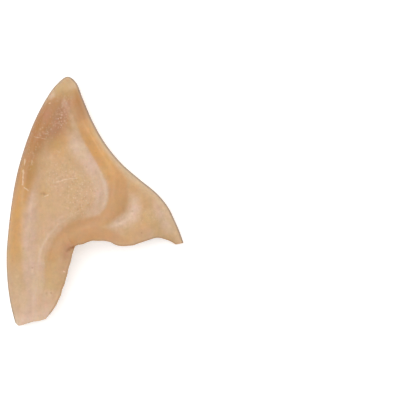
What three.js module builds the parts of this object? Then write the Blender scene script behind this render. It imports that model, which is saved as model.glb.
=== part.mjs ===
// A pointed costume ear tip: one thin shell of cast latex that slips over the upper half of the wearer's ear.
// It lies on its back with the moulded face up. Millimetres, +Z up. The origin is on the resting plane, under
// the middle of the ear's outline: +Y runs from the tail to the pointed tip, +X from the helix to the front flap.
//
// The shell is one wall, folded over along the rolled rim. Sections fan out from the opening to the rim, from
// the end of the tail, up the helix, round the pointed tip and down to the front point. Each section is a hook:
// the face runs from its trimmed lip to the rim, rolls over there, and comes back underneath as the back wall.
// The wearer's ear slides into the hook.
import * as THREE from "three";

// Driving dimensions
const EAR_WIDTH = 61; // from the helix to the front point
const EAR_HEIGHT = 86; // from the end of the tail to the pointed tip
const RIM_HEIGHT = 5.6; // the outermost line of the rolled rim, above the resting plane
const FACE_HEIGHT = 12; // the crest of the rolled helix
const LIP_HEIGHT = 14; // the face at the highest point of its lip, beside the inner corner of the opening
const FOLD_DEPTH = 3.4; // the deepest hollow of the face
const FOLD_SHOULDER = 5; // the width over which a fold rises or falls
const FOLD_ROUNDING = 1.2; // the rounding along the middle of a narrow fold
const ROLL_RADIUS = 4.4; // the rolled rim, seen from above
const BACK_LIFT = 2.4; // the back wall above the resting plane, under the pointed tip
const MOUTH_LIFT = 1.6; // the back wall above the resting plane, at the inner corner of the opening
const WALL = 1.3; // the latex over the body of the ear
const FEATHER_WALL = 0.7; // the latex at the trimmed lips
const FEATHER_REACH = 6; // the width over which the wall thins towards a lip
const TIP_FILL = 4; // the latex that pools in the pointed tip when it is cast
const NARROWEST_GAP = 0.5; // between the inner faces of the two walls
const BACK_HEM = 0.5; // the least that the back wall shows past the rolled rim

// How far the back wall follows the folds of the face, as on a worn ear, where a hollow bulges out behind.
const BACK_FOLLOW = 0.4;

// The fan of sections. rimX, lipX and rimY, lipY are shares of the ear's width and height from its lower left
// corner. rimUp, faceUp and lipUp are shares of the heights of the rim, face and lip, roll of the rim's radius,
// cover of the section's length that the back wall reaches, backUp and mouthUp of the two lifts of the back wall.
const SECTION_COLUMNS =
  "rimX rimY lipX lipY rimUp faceUp lipUp roll cover backUp mouthUp".split(" ");
const SECTIONS = [
  [0.051, 0.002, 0.231, 0.038, 0.55, 0.56, 0.46, 0.75, 0.5, 0, 0],
  [0.02, 0.096, 0.282, 0.092, 0.65, 0.68, 0.58, 0.85, 0.55, 0, 0],
  [0.004, 0.191, 0.321, 0.159, 0.78, 0.8, 0.71, 0.95, 0.62, 0, 0.1],
  [0.001, 0.291, 0.349, 0.227, 0.9, 0.91, 0.83, 1, 0.7, 0, 0.4],
  [0.015, 0.394, 0.369, 0.279, 0.98, 0.98, 0.9, 1, 0.78, 0.1, 0.8],
  [0.035, 0.506, 0.38, 0.303, 1, 1, 0.93, 1, 0.82, 0.2, 1],
  [0.062, 0.61, 0.388, 0.315, 1, 1, 0.945, 1, 0.84, 0.2, 1],
  [0.103, 0.713, 0.392, 0.322, 1, 0.97, 0.95, 0.95, 0.86, 0.3, 1],
  [0.161, 0.821, 0.395, 0.325, 0.97, 0.91, 0.955, 0.85, 0.87, 0.4, 1],
  [0.231, 0.916, 0.4, 0.328, 0.93, 0.84, 0.96, 0.72, 0.88, 0.6, 1],
  [0.287, 0.972, 0.406, 0.33, 0.9, 0.77, 0.962, 0.62, 0.88, 0.85, 1],
  [0.344, 1, 0.414, 0.332, 0.88, 0.72, 0.966, 0.55, 0.88, 1, 1],
  [0.394, 0.974, 0.425, 0.334, 0.88, 0.75, 0.97, 0.55, 0.88, 0.85, 1],
  [0.43, 0.912, 0.442, 0.337, 0.9, 0.81, 0.977, 0.6, 0.87, 0.6, 1],
  [0.485, 0.821, 0.468, 0.343, 0.92, 0.87, 0.99, 0.66, 0.85, 0.4, 0.95],
  [0.558, 0.731, 0.518, 0.35, 0.93, 0.91, 1, 0.7, 0.83, 0.3, 0.8],
  [0.648, 0.653, 0.58, 0.344, 0.9, 0.91, 0.985, 0.72, 0.8, 0.2, 0.5],
  [0.749, 0.59, 0.648, 0.327, 0.82, 0.87, 0.93, 0.7, 0.76, 0.1, 0.2],
  [0.845, 0.534, 0.721, 0.331, 0.7, 0.78, 0.83, 0.6, 0.7, 0, 0],
  [0.91, 0.478, 0.789, 0.347, 0.58, 0.65, 0.7, 0.48, 0.62, 0, 0],
  [0.949, 0.422, 0.856, 0.359, 0.46, 0.51, 0.53, 0.36, 0.55, 0, 0],
  [0.977, 0.375, 0.913, 0.347, 0.35, 0.37, 0.36, 0.26, 0.5, 0, 0],
  [0.997, 0.343, 0.961, 0.332, 0.25, 0.22, 0.19, 0.2, 0.5, 0, 0],
].map((row) => Object.fromEntries(SECTION_COLUMNS.map((name, i) => [name, row[i]])));

// The folds of the face. Each is a chain of points: x and y as above, reach as a share of the ear's width, and
// rise as a share of the depth of the folds, below zero for a hollow.
const FOLD_COLUMNS = "x y reach rise".split(" ");
const FOLDS = Object.values({
  scaphaHollow: [
    [0.327, 0.88, 0.017, -0.45],
    [0.327, 0.809, 0.045, -0.7],
    [0.324, 0.729, 0.096, -0.9],
    [0.344, 0.657, 0.161, -1],
    [0.358, 0.586, 0.2, -1],
    [0.304, 0.518, 0.161, -1],
    [0.225, 0.418, 0.085, -1],
    [0.192, 0.343, 0.048, -0.9],
    [0.177, 0.259, 0.031, -0.75],
    [0.166, 0.147, 0.026, -0.6],
    [0.158, 0.0, 0.024, -0.4],
  ],
  scaphaCorner: [
    [0.358, 0.586, 0.2, -1],
    [0.456, 0.53, 0.096, -0.95],
  ],
  fossaGroove: [
    [0.592, 0.402, 0.026, -0.3],
    [0.659, 0.422, 0.034, -0.6],
    [0.704, 0.462, 0.034, -0.6],
    [0.721, 0.53, 0.026, -0.3],
  ],
  antihelixRidge: [
    [0.237, 0.084, 0.045, 0.1],
    [0.282, 0.203, 0.056, 0.2],
    [0.338, 0.307, 0.062, 0.3],
    [0.439, 0.382, 0.062, 0.35],
    [0.552, 0.398, 0.062, 0.35],
    [0.614, 0.486, 0.045, 0.35],
    [0.603, 0.578, 0.045, 0.3],
    [0.535, 0.681, 0.04, 0.25],
    [0.468, 0.777, 0.035, 0.2],
    [0.406, 0.873, 0.028, 0.1],
  ],
  crusRidge: [
    [0.811, 0.418, 0.05, 0.2],
    [0.868, 0.458, 0.045, 0.15],
  ],
}).map((rows) => rows.map((row) => Object.fromEntries(FOLD_COLUMNS.map((name, i) => [name, row[i]]))));

// Facets
const STEPS_PER_SECTION = 3;
const ROLL_STEPS = 7;
const FACE_STEPS = 28;
const BACK_ROLL_STEPS = 5;
const BACK_STEPS = 8;
const INNER_ROLL_STEPS = 3;
const INNER_STEPS = 9;

// Rubber, tinted like pale skin
const latex = new THREE.MeshStandardMaterial({ color: 0xd2a06c, roughness: 0.5, metalness: 0 });

const clamp01 = (value) => Math.min(1, Math.max(0, value));
const mix = (a, b, share) => a + (b - a) * share;
const smooth = (share) => clamp01(share) ** 2 * (3 - 2 * clamp01(share));
// A quarter of a circle: how far a roll has risen when it has come this share of its radius inwards.
const rolled = (share) => Math.sqrt(1 - (1 - clamp01(share)) ** 2);
const inPlan = (x, y) => new THREE.Vector2(x * EAR_WIDTH, y * EAR_HEIGHT);

// The value of a column between the rows of SECTIONS, on a smooth curve through them.
function sectionValue(column, at) {
  const last = SECTIONS.length - 1;
  const row = Math.min(last - 1, Math.floor(at));
  const value = (i) => SECTIONS[Math.min(last, Math.max(0, i))][column];
  const share = at - row;
  const slopeIn = (value(row + 1) - value(row - 1)) / 2;
  const slopeOut = (value(row + 2) - value(row)) / 2;
  const fall = 2 * share ** 3 - 3 * share ** 2 + 1;
  return (
    fall * value(row) +
    (share ** 3 - 2 * share ** 2 + share) * slopeIn +
    (1 - fall) * value(row + 1) +
    (share ** 3 - share ** 2) * slopeOut
  );
}

function sectionAt(at) {
  const section = { at };
  for (const column of SECTION_COLUMNS) section[column] = sectionValue(column, at);
  section.rim = inPlan(section.rimX, section.rimY);
  section.lip = inPlan(section.lipX, section.lipY);
  section.length = section.rim.distanceTo(section.lip);
  section.along = section.lip.clone().sub(section.rim).normalize();
  return section;
}

// The distance from a point to a line of points, and where the nearest point of it lies.
function nearestOn(line, point) {
  let best = { distance: Infinity };
  for (let i = 0; i < line.length - 1; i++) {
    const span = line[i + 1].clone().sub(line[i]);
    const share = clamp01(point.clone().sub(line[i]).dot(span) / span.lengthSq());
    const distance = point.distanceTo(line[i].clone().addScaledVector(span, share));
    if (distance < best.distance) best = { distance, i, share };
  }
  return best;
}

const sectionCount = (SECTIONS.length - 1) * STEPS_PER_SECTION + 1;
const sections = Array.from({ length: sectionCount }, (_, i) => sectionAt(i / STEPS_PER_SECTION));
const rimLine = sections.map((section) => section.rim);
const tailEnd = sections[0];
const frontLine = [tailEnd.rim, ...sections.map((section) => section.lip)];

// The latex is thinner towards the trimmed edges.
function wallAt(point, edgeLine) {
  const reach = nearestOn(edgeLine, point).distance / FEATHER_REACH;
  return mix(FEATHER_WALL, WALL, smooth(reach));
}

// Inside the rim the hollow starts one wall further in, and further still in the pointed tip.
const tipAt = SECTIONS.findIndex((row) => row.rimY === 1);
const TIP_FILL_ROWS = 3; // the rows of SECTIONS over which the pooled latex runs out
sections.forEach((section, i) => {
  const before = rimLine[Math.max(0, i - 1)];
  const after = rimLine[Math.min(sectionCount - 1, i + 1)];
  const tangent = after.clone().sub(before).normalize();
  const crossing = Math.abs(tangent.cross(section.along));
  const pooled = TIP_FILL * smooth(1 - Math.abs(section.at - tipAt) / TIP_FILL_ROWS);
  section.inset = wallAt(section.rim, frontLine) / crossing + pooled;
  section.innerRim = section.rim.clone().addScaledVector(section.along, section.inset);
  const reach = Math.max(section.cover * section.length, section.inset + BACK_HEM);
  section.backReach = Math.min(reach, section.length);
  section.backLip = section.rim.clone().addScaledVector(section.along, section.backReach);
});
const innerRimLine = sections.map((section) => section.innerRim);
const backLine = [tailEnd.rim, ...sections.map((section) => section.backLip)];

// The rise or fall of the face at a point. Where two hollows meet, the deeper one counts, and so with ridges.
// The border of a fold lies halfway down its shoulder.
const foldLinks = FOLDS.flatMap((chain) =>
  chain.slice(1).map((to, i) => {
    const from = chain[i];
    return { from, to, line: [inPlan(from.x, from.y), inPlan(to.x, to.y)] };
  }),
);
function reliefAt(point) {
  let hollow = 0;
  let ridge = 0;
  for (const { from, to, line } of foldLinks) {
    const { distance, share } = nearestOn(line, point);
    const reach = mix(from.reach, to.reach, share) * EAR_WIDTH;
    const rise = mix(from.rise, to.rise, share) * FOLD_DEPTH;
    const fromMiddle = Math.hypot(distance, FOLD_ROUNDING);
    const shaped = rise * smooth((reach - fromMiddle) / FOLD_SHOULDER + 0.5);
    hollow = Math.min(hollow, shaped);
    ridge = Math.max(ridge, shaped);
  }
  return hollow + ridge;
}

// The levels of the face and of the back wall at a point of a section, before the rim rolls them together.
function levelsAt(section, reach) {
  const point = section.rim.clone().addScaledVector(section.along, reach);
  const share = smooth(reach / section.length);
  const roll = section.roll * ROLL_RADIUS;
  const fromRim = nearestOn(rimLine, point).distance;
  const relief = reliefAt(point) * smooth(fromRim / roll);
  const faceWall = wallAt(point, frontLine);
  const backWall = wallAt(point, backLine);
  const back = mix(section.backUp * BACK_LIFT, section.mouthUp * MOUTH_LIFT, share);
  const backZ = Math.max(0, back + relief * BACK_FOLLOW);
  const face = mix(section.faceUp * FACE_HEIGHT, section.lipUp * LIP_HEIGHT, share) + relief;
  const faceZ = Math.max(face, backZ + backWall + NARROWEST_GAP + faceWall);
  return { point, roll, fromRim, faceWall, backWall, backZ, faceZ };
}

function outerPoint(section, reach, side) {
  const { point, roll, fromRim, backZ, faceZ } = levelsAt(section, reach);
  const rimZ = section.rimUp * RIM_HEIGHT;
  const level = side === "face" ? faceZ : backZ;
  return new THREE.Vector3(point.x, point.y, mix(rimZ, level, rolled(fromRim / roll)));
}

function innerPoint(section, reach, side) {
  const { point, roll, faceWall, backWall, backZ, faceZ } = levelsAt(section, reach);
  const rimZ = section.rimUp * RIM_HEIGHT;
  const [wall, level] = side === "face" ? [faceWall, faceZ - faceWall] : [backWall, backZ + backWall];
  const fromInnerRim = nearestOn(innerRimLine, point).distance;
  const innerRoll = Math.max(roll - wall, wall);
  return new THREE.Vector3(point.x, point.y, mix(rimZ, level, rolled(fromInnerRim / innerRoll)));
}

// Reaches from the start of a roll to the end of a wall, close together where the roll turns.
function reaches(start, roll, end, rollSteps, steps) {
  const rollEnd = Math.min(start + roll, mix(start, end, rollSteps / (rollSteps + steps)));
  const found = [];
  for (let i = 0; i < rollSteps; i++) {
    found.push(mix(start, rollEnd, 1 - Math.cos(((i / rollSteps) * Math.PI) / 2)));
  }
  for (let i = 0; i <= steps; i++) found.push(mix(rollEnd, end, i / steps));
  return found;
}

// One hook-shaped ring: the face from its lip to the rim, the back wall out to its lip, and the inside back again.
function ringOf(section) {
  const roll = section.roll * ROLL_RADIUS;
  const face = reaches(0, roll, section.length, ROLL_STEPS, FACE_STEPS);
  const back = reaches(0, roll, section.backReach, BACK_ROLL_STEPS, BACK_STEPS);
  const innerBack = reaches(section.inset, roll, section.backReach, INNER_ROLL_STEPS, INNER_STEPS);
  const innerFace = reaches(section.inset, roll, section.length, INNER_ROLL_STEPS, INNER_STEPS);
  return [
    ...face.reverse().map((reach) => outerPoint(section, reach, "face")),
    ...back.slice(1).map((reach) => outerPoint(section, reach, "back")),
    ...innerBack.reverse().map((reach) => innerPoint(section, reach, "back")),
    ...innerFace.slice(1).map((reach) => innerPoint(section, reach, "face")),
  ];
}

// Closes an end of the shell with flat faces, turned to look outwards.
function capFaces(ring, section, outwards, firstIndex) {
  const flat = ring.map((p) => new THREE.Vector2(section.along.dot(p), p.z));
  const triangle = new THREE.Triangle();
  const normal = new THREE.Vector3();
  return THREE.ShapeUtils.triangulateShape(flat, []).flatMap(([a, b, c]) => {
    triangle.set(ring[a], ring[b], ring[c]).getNormal(normal);
    const turned = normal.dot(outwards) > 0 ? [a, b, c] : [a, c, b];
    return turned.map((index) => index + firstIndex);
  });
}

// The two triangles of a cell of the net, split along its shorter diagonal.
function cellFaces(points, a, b, c, d) {
  const shortAC = points[a].distanceTo(points[c]) < points[b].distanceTo(points[d]);
  return shortAC ? [a, c, b, a, d, c] : [a, d, b, b, d, c];
}

function earShell() {
  const rings = sections.map(ringOf);
  const points = rings.flat();
  const size = rings[0].length;
  const faces = [];
  for (let i = 0; i < sectionCount - 1; i++) {
    for (let j = 0; j < size; j++) {
      const next = (j + 1) % size;
      const [here, there] = [i * size, (i + 1) * size];
      faces.push(...cellFaces(points, here + j, here + next, there + next, there + j));
    }
  }
  const last = sectionCount - 1;
  const acrossTail = new THREE.Vector3(-tailEnd.along.y, tailEnd.along.x, 0).negate();
  const acrossFlap = new THREE.Vector3(-sections[last].along.y, sections[last].along.x, 0);
  faces.push(...capFaces(rings[0], tailEnd, acrossTail, 0));
  faces.push(...capFaces(rings[last], sections[last], acrossFlap, last * size));

  const geometry = new THREE.BufferGeometry().setFromPoints(points);
  geometry.setIndex(faces);
  geometry.computeBoundingBox();
  const middle = geometry.boundingBox.getCenter(new THREE.Vector3());
  geometry.translate(-middle.x, -middle.y, -geometry.boundingBox.min.z);
  geometry.computeVertexNormals();
  return geometry;
}

const earTip = new THREE.Mesh(earShell(), latex);
earTip.name = "ear_tip_shell";

const part = new THREE.Group();
part.add(earTip);
export default part;
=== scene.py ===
# %% [markdown]
# # A pointed ear tip of cast latex
#
# This lesson dresses one solid: a thin latex shell in the shape of a pointed ear. A wearer slips it over
# the upper half of the ear. The real one is made by pouring liquid latex into a plaster mould. It comes out
# in one piece, with a rolled outer edge, soft folds, thin trimmed lips and some casting powder left in the
# hollows.
#
# The CAD part is loaded first as a fixed frame. It has the right size and the main folds, so nothing here
# may grow out of its box. What it lacks is a fine skin: rounded lips, small dents, and the colours of
# tinted latex.

# %% Load the fixed frame
import math

import bmesh
import bpy
import numpy as np
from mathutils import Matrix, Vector, noise


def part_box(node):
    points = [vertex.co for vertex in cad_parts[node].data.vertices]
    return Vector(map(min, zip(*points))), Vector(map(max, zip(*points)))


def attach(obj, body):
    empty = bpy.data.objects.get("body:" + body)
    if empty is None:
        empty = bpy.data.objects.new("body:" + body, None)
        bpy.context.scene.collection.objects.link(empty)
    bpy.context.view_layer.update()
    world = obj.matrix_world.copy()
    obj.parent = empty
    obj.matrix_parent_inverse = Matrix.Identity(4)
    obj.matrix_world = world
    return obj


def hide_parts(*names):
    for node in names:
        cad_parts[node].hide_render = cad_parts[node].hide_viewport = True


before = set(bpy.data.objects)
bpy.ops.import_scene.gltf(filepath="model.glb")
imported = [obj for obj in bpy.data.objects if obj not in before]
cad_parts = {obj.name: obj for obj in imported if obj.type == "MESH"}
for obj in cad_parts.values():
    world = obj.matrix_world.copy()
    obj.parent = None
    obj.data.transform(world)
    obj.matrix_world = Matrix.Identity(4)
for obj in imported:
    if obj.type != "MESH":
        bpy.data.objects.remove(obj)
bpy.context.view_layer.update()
shell_low, shell_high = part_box("ear_tip_shell")
MM = 0.001  # the ear is drawn in millimetres, and the frame is in metres
print("the shell measures", [round(side / MM, 1) for side in shell_high - shell_low], "mm")

# %% [markdown]
# ## The camera
#
# The ear lies on its back and is seen from straight above, as a scanner sees it. A long lens far away keeps
# the thin walls from leaning outwards in the picture. The ear lies in the left half of the frame, so the
# camera stands to the right of it. The picture is as wide as FRAME_WIDTH at the level of the face. The lens
# and the sensor are in millimetres, as on a real camera.

# %% Look straight down through a long lens
FRAME_WIDTH = 137 * MM
FACE_LEVEL = 8 * MM
CAMERA_X = 36.1 * MM
CAMERA_Y = 0.5 * MM
LENS = 200
SENSOR = 36
camera_data = bpy.data.cameras.new("camera_above")
camera_data.lens = LENS
camera_data.sensor_width = SENSOR
camera = bpy.data.objects.new("camera_above", camera_data)
camera.location = (CAMERA_X, CAMERA_Y, FACE_LEVEL + FRAME_WIDTH * LENS / SENSOR)
bpy.context.collection.objects.link(camera)
bpy.context.scene.camera = camera
print("the camera stands", round(camera.location.z, 3), "m above the floor")

# %% [markdown]
# ## The floor and the light
#
# A white floor and a wide soft lamp give almost no shadow, so the folds read by their tint more than by
# their shade. The floor glows a little, which keeps it white to the corners. The wide lamp hangs a little
# towards the upper left, a weak one at the right draws the edges, and a white sky fills in the rest. A lamp
# shines along its own -Z, so its +Z is turned away from the ear.

# %% Lay the floor
FLOOR_SIDE = 3.0
floor_sheet = bmesh.new()
bmesh.ops.create_grid(floor_sheet, x_segments=1, y_segments=1, size=FLOOR_SIDE / 2)
floor_mesh = bpy.data.meshes.new("studio_floor")
floor_sheet.to_mesh(floor_mesh)
floor_sheet.free()
studio_floor = bpy.data.objects.new("studio_floor", floor_mesh)
bpy.context.collection.objects.link(studio_floor)
print("the floor is", FLOOR_SIDE, "m wide")

# %% Paint the floor
FLOOR_FINISH = {
    "Base Color": (0.96, 0.96, 0.96, 1),
    "Emission Color": (1, 1, 1, 1),
    "Emission Strength": 0.35,
    "Roughness": 0.9,
}


def set_finish(shader, finish):
    """Sets the values of a shader that are the same all over the surface."""
    for name, value in finish.items():
        shader.inputs[name].default_value = value


floor_paint = bpy.data.materials.new("white_floor")
floor_paint.use_nodes = True
set_finish(floor_paint.node_tree.nodes["Principled BSDF"], FLOOR_FINISH)
floor_mesh.materials.append(floor_paint)
print("the floor glows with a strength of", FLOOR_FINISH["Emission Strength"])

# %% Hang the lamps
LAMPS = (
    # a name, a place and a side in metres, and a power in watts
    ("wide_lamp", (-0.14, 0.1, 0.9), 0.9, 6.0),
    ("edge_lamp", (0.8, 0.3, 0.4), 0.4, 0.8),
)
for name, place, side, power in LAMPS:
    lamp_data = bpy.data.lights.new(name, "AREA")
    lamp_data.shape = "SQUARE"
    lamp_data.size = side
    lamp_data.energy = power
    lamp = bpy.data.objects.new(name, lamp_data)
    lamp.location = place
    lamp.rotation_euler = Vector(place).to_track_quat("Z", "Y").to_euler()
    bpy.context.collection.objects.link(lamp)
print(len(LAMPS), "lamps point at the ear")

# %% Light the sky
SKY_STRENGTH = 0.42
sky = bpy.data.worlds.new("white_sky")
sky.use_nodes = True
sky.node_tree.nodes["Background"].inputs["Color"].default_value = (1, 1, 1, 1)
sky.node_tree.nodes["Background"].inputs["Strength"].default_value = SKY_STRENGTH
bpy.context.scene.world = sky
bpy.context.scene.view_settings.view_transform = "Standard"
print("the sky has a strength of", SKY_STRENGTH)

# %% [markdown]
# ## The fan of ribs
#
# An ear tip is hard to sculpt freehand, because its wall turns under at the rim and comes back as a second
# wall. It is easy to describe as a fan, like the ribs of a hand fan: each rib runs from the trimmed lip of
# the opening out to the rim. A row of the table is one rib, in order from the end of the tail over the tip
# to the front point. Its places are shares of the ear's width and height, and its heights are shares of a
# few named heights. They follow the CAD part within a millimetre, so the skin lies where the solid is.

# %% Name the sizes, in millimetres
EAR_WIDTH = 61  # from the helix to the front point
EAR_HEIGHT = 86  # from the end of the tail to the pointed tip
RIM_HEIGHT = 5.6  # the outermost line of the rolled rim, above the table
FACE_HEIGHT = 12  # the crest of the rolled helix
LIP_HEIGHT = 14  # the face at the highest point of its lip
FOLD_DEPTH = 3.4  # the deepest hollow of the face
FOLD_SHOULDER = 4.2  # the width over which a narrow fold rises or falls
FOLD_ROUNDING = 1.2  # the rounding along the middle of a narrow fold
ROLL_RADIUS = 4.4  # the rolled rim, seen from above
BACK_LIFT = 2.4  # the back wall above the table, under the pointed tip
MOUTH_LIFT = 1.6  # the back wall above the table, at the opening
WALL = 1.3  # the latex over the body of the ear
FEATHER_WALL = 0.7  # the latex at the trimmed lips
FEATHER_REACH = 6  # the width over which the wall thins towards a lip
TIP_FILL = 4  # the latex that pools in the pointed tip when it is cast
NARROWEST_GAP = 0.5  # between the insides of the two walls
BACK_HEM = 0.5  # the least that the back wall shows past the rolled rim
print("the ear is drawn", EAR_WIDTH, "by", EAR_HEIGHT, "mm")

# %% Name the shares and the counts
FOLD_SOFTENING = 0.35  # the share of a fold's reach that widens its shoulder
BACK_FOLLOW = 0.4  # how far the back wall follows the folds of the face
TIP_FILL_ROWS = 3  # the rows of RIBS over which the pooled latex runs out
RIB_STEPS = 15  # the ribs drawn for each row of RIBS
print(RIB_STEPS, "ribs are drawn for each row of the table")

# %% Chart the ribs
RIB_COLUMNS = "rim_x rim_y lip_x lip_y rim_up face_up lip_up roll cover back_up mouth_up".split()
RIBS = np.array([
    [0.051, 0.002, 0.231, 0.038, 0.55, 0.56, 0.46, 0.75, 0.5, 0, 0],
    [0.02, 0.096, 0.282, 0.092, 0.65, 0.68, 0.58, 0.85, 0.55, 0, 0],
    [0.004, 0.191, 0.321, 0.159, 0.78, 0.8, 0.71, 0.95, 0.62, 0, 0.1],
    [0.001, 0.291, 0.349, 0.227, 0.9, 0.91, 0.83, 1, 0.7, 0, 0.4],
    [0.013, 0.394, 0.369, 0.279, 0.98, 0.98, 0.9, 1, 0.78, 0.1, 0.8],
    [0.033, 0.506, 0.38, 0.303, 1, 1, 0.93, 1, 0.82, 0.2, 1],
    [0.06, 0.61, 0.388, 0.315, 1, 1, 0.945, 1, 0.84, 0.2, 1],
    [0.101, 0.713, 0.392, 0.322, 1, 0.97, 0.95, 0.95, 0.86, 0.3, 1],
    [0.158, 0.821, 0.395, 0.325, 0.97, 0.91, 0.955, 0.85, 0.87, 0.4, 1],
    [0.228, 0.916, 0.4, 0.328, 0.93, 0.84, 0.96, 0.72, 0.88, 0.6, 1],
    [0.287, 0.972, 0.406, 0.33, 0.9, 0.77, 0.962, 0.62, 0.88, 0.85, 1],
    [0.344, 1, 0.414, 0.332, 0.88, 0.72, 0.966, 0.55, 0.88, 1, 1],
    [0.394, 0.974, 0.425, 0.334, 0.88, 0.75, 0.97, 0.55, 0.88, 0.85, 1],
    [0.43, 0.912, 0.442, 0.337, 0.9, 0.81, 0.977, 0.6, 0.87, 0.6, 1],
    [0.485, 0.821, 0.468, 0.343, 0.92, 0.87, 0.99, 0.66, 0.85, 0.4, 0.95],
    [0.558, 0.731, 0.518, 0.35, 0.93, 0.91, 1, 0.7, 0.83, 0.3, 0.8],
    [0.648, 0.653, 0.58, 0.344, 0.9, 0.91, 0.985, 0.72, 0.8, 0.2, 0.5],
    [0.749, 0.59, 0.648, 0.327, 0.82, 0.87, 0.93, 0.7, 0.76, 0.1, 0.2],
    [0.845, 0.534, 0.721, 0.331, 0.7, 0.78, 0.83, 0.6, 0.7, 0, 0],
    [0.91, 0.478, 0.789, 0.347, 0.58, 0.65, 0.7, 0.48, 0.62, 0, 0],
    [0.949, 0.422, 0.856, 0.359, 0.46, 0.51, 0.53, 0.36, 0.55, 0, 0],
    [0.977, 0.375, 0.913, 0.347, 0.35, 0.37, 0.36, 0.26, 0.5, 0, 0],
    [0.997, 0.334, 0.961, 0.329, 0.25, 0.22, 0.19, 0.2, 0.5, 0, 0],
])
PLAN = np.array([EAR_WIDTH, EAR_HEIGHT])
front_point = RIBS[-1, 0] * EAR_WIDTH
TO_FRAME = np.array([shell_high.x / MM - front_point, shell_high.y / MM - EAR_HEIGHT, 0])  # from the plan
print(len(RIBS), "rows; the plan's corner lies at", TO_FRAME.round(2), "mm")

# %% [markdown]
# ## Curves between the ribs
#
# A few rows are enough if a smooth curve runs through them. The curve gives every column of the table at
# any place between two rows. A few small helpers follow. `mix` goes from one value to another, `smooth`
# eases from 0 to 1, as a soft fold does, and `rolled` is a quarter of a circle, as the rim is. `gaps_to`
# and `distance_to` say how far points lie from a stretch and from a whole line drawn on the plan.

# %% Write the curve and the easing helpers
def between_rows(table, places):
    """The values of a table at places between its rows, on a smooth curve."""
    last = len(table) - 1
    row = np.minimum(last - 1, np.floor(places).astype(int))
    share = (places - row)[:, None]
    before, here, after, beyond = (table[np.clip(row + step, 0, last)] for step in (-1, 0, 1, 2))
    slope_in, slope_out = (after - before) / 2, (beyond - here) / 2
    fall = 2 * share**3 - 3 * share**2 + 1
    eased_in = (share**3 - 2 * share**2 + share) * slope_in
    eased_out = (share**3 - share**2) * slope_out
    return fall * here + eased_in + (1 - fall) * after + eased_out


def mix(start, end, share):
    return start + (end - start) * share


def smooth(share):
    share = np.clip(share, 0, 1)
    return share**2 * (3 - 2 * share)


def rolled(share):
    return np.sqrt(1 - (1 - np.clip(share, 0, 1)) ** 2)


print("halfway up, a soft fold has risen to", smooth(0.5), "and a roll to", round(float(rolled(0.5)), 2))

# %% Measure distances on the plan
def gaps_to(start, end, points):
    """How far along a straight stretch each point lies, as a share, and its gap to the stretch."""
    span = end - start
    share = np.clip((points - start) @ span / (span @ span), 0, 1)
    return share, points - start - share[..., None] * span


def distance_to(line, points):
    """How far each point lies from a line of points."""
    nearest = np.full(points.shape[:-1], np.inf)
    for start, end in zip(line, line[1:]):
        _, gap = gaps_to(start, end, points)
        nearest = np.minimum(nearest, np.hypot(gap[..., 0], gap[..., 1]))
    return nearest


centre = np.array([[0.5, 0.5]]) * PLAN
rim_corners = RIBS[:, :2] * PLAN
print("the middle of the plan lies", round(distance_to(rim_corners, centre)[0], 1), "mm from the rim")

# %% Draw the curve through the ribs
rib_places = np.linspace(0, len(RIBS) - 1, (len(RIBS) - 1) * RIB_STEPS + 1)
fan = dict(zip(RIB_COLUMNS, between_rows(RIBS, rib_places).T))
rim = np.stack([fan["rim_x"], fan["rim_y"]], axis=-1) * PLAN
drawn_lip = np.stack([fan["lip_x"], fan["lip_y"]], axis=-1) * PLAN
print(len(rib_places), "ribs after the curve is drawn")

# %% [markdown]
# ## The folds
#
# Between the rolled helix and the ridge in front of it lies a long hollow. A ridge runs round the opening,
# and a small hollow lies in front of it. Each fold is a chain of places, as shares of the plan. Each place
# has a reach to both sides, as a share of the ear's width, and a rise, as a share of FOLD_DEPTH, which is
# below zero for a hollow.

# %% Chart the folds
FOLDS = {
    "scapha_hollow": [
        (0.327, 0.88, 0.017, -0.45), (0.327, 0.809, 0.045, -0.7), (0.324, 0.729, 0.096, -0.9),
        (0.344, 0.657, 0.161, -1), (0.358, 0.586, 0.2, -1), (0.304, 0.518, 0.161, -1),
        (0.225, 0.418, 0.085, -1), (0.192, 0.343, 0.048, -0.9), (0.177, 0.259, 0.031, -0.75),
        (0.166, 0.147, 0.026, -0.6), (0.158, 0, 0.024, -0.4),
    ],
    "scapha_corner": [(0.358, 0.586, 0.2, -1), (0.456, 0.53, 0.096, -0.95)],
    "fossa_groove": [
        (0.592, 0.402, 0.026, -0.25), (0.659, 0.422, 0.034, -0.4),
        (0.704, 0.462, 0.034, -0.4), (0.721, 0.53, 0.026, -0.25),
    ],
    "antihelix_ridge": [
        (0.237, 0.084, 0.045, 0.1), (0.282, 0.203, 0.056, 0.2), (0.338, 0.307, 0.062, 0.3),
        (0.439, 0.382, 0.062, 0.35), (0.552, 0.398, 0.062, 0.35), (0.614, 0.486, 0.045, 0.35),
        (0.603, 0.578, 0.045, 0.3), (0.535, 0.681, 0.04, 0.25), (0.468, 0.777, 0.035, 0.2),
        (0.406, 0.873, 0.028, 0.1),
    ],
    "crus_ridge": [(0.811, 0.418, 0.05, 0.2), (0.868, 0.458, 0.045, 0.15)],
}
print(len(FOLDS), "folds")

# %% Write the helpers that read a chart
def links_of(chains):
    """Each stretch of each chain: its two ends on the plan, and its reach and strength at both."""
    for chain in chains.values():
        for here, there in zip(chain, chain[1:]):
            yield np.array(here[:2]) * PLAN, np.array(there[:2]) * PLAN, here[2:], there[2:]


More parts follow.
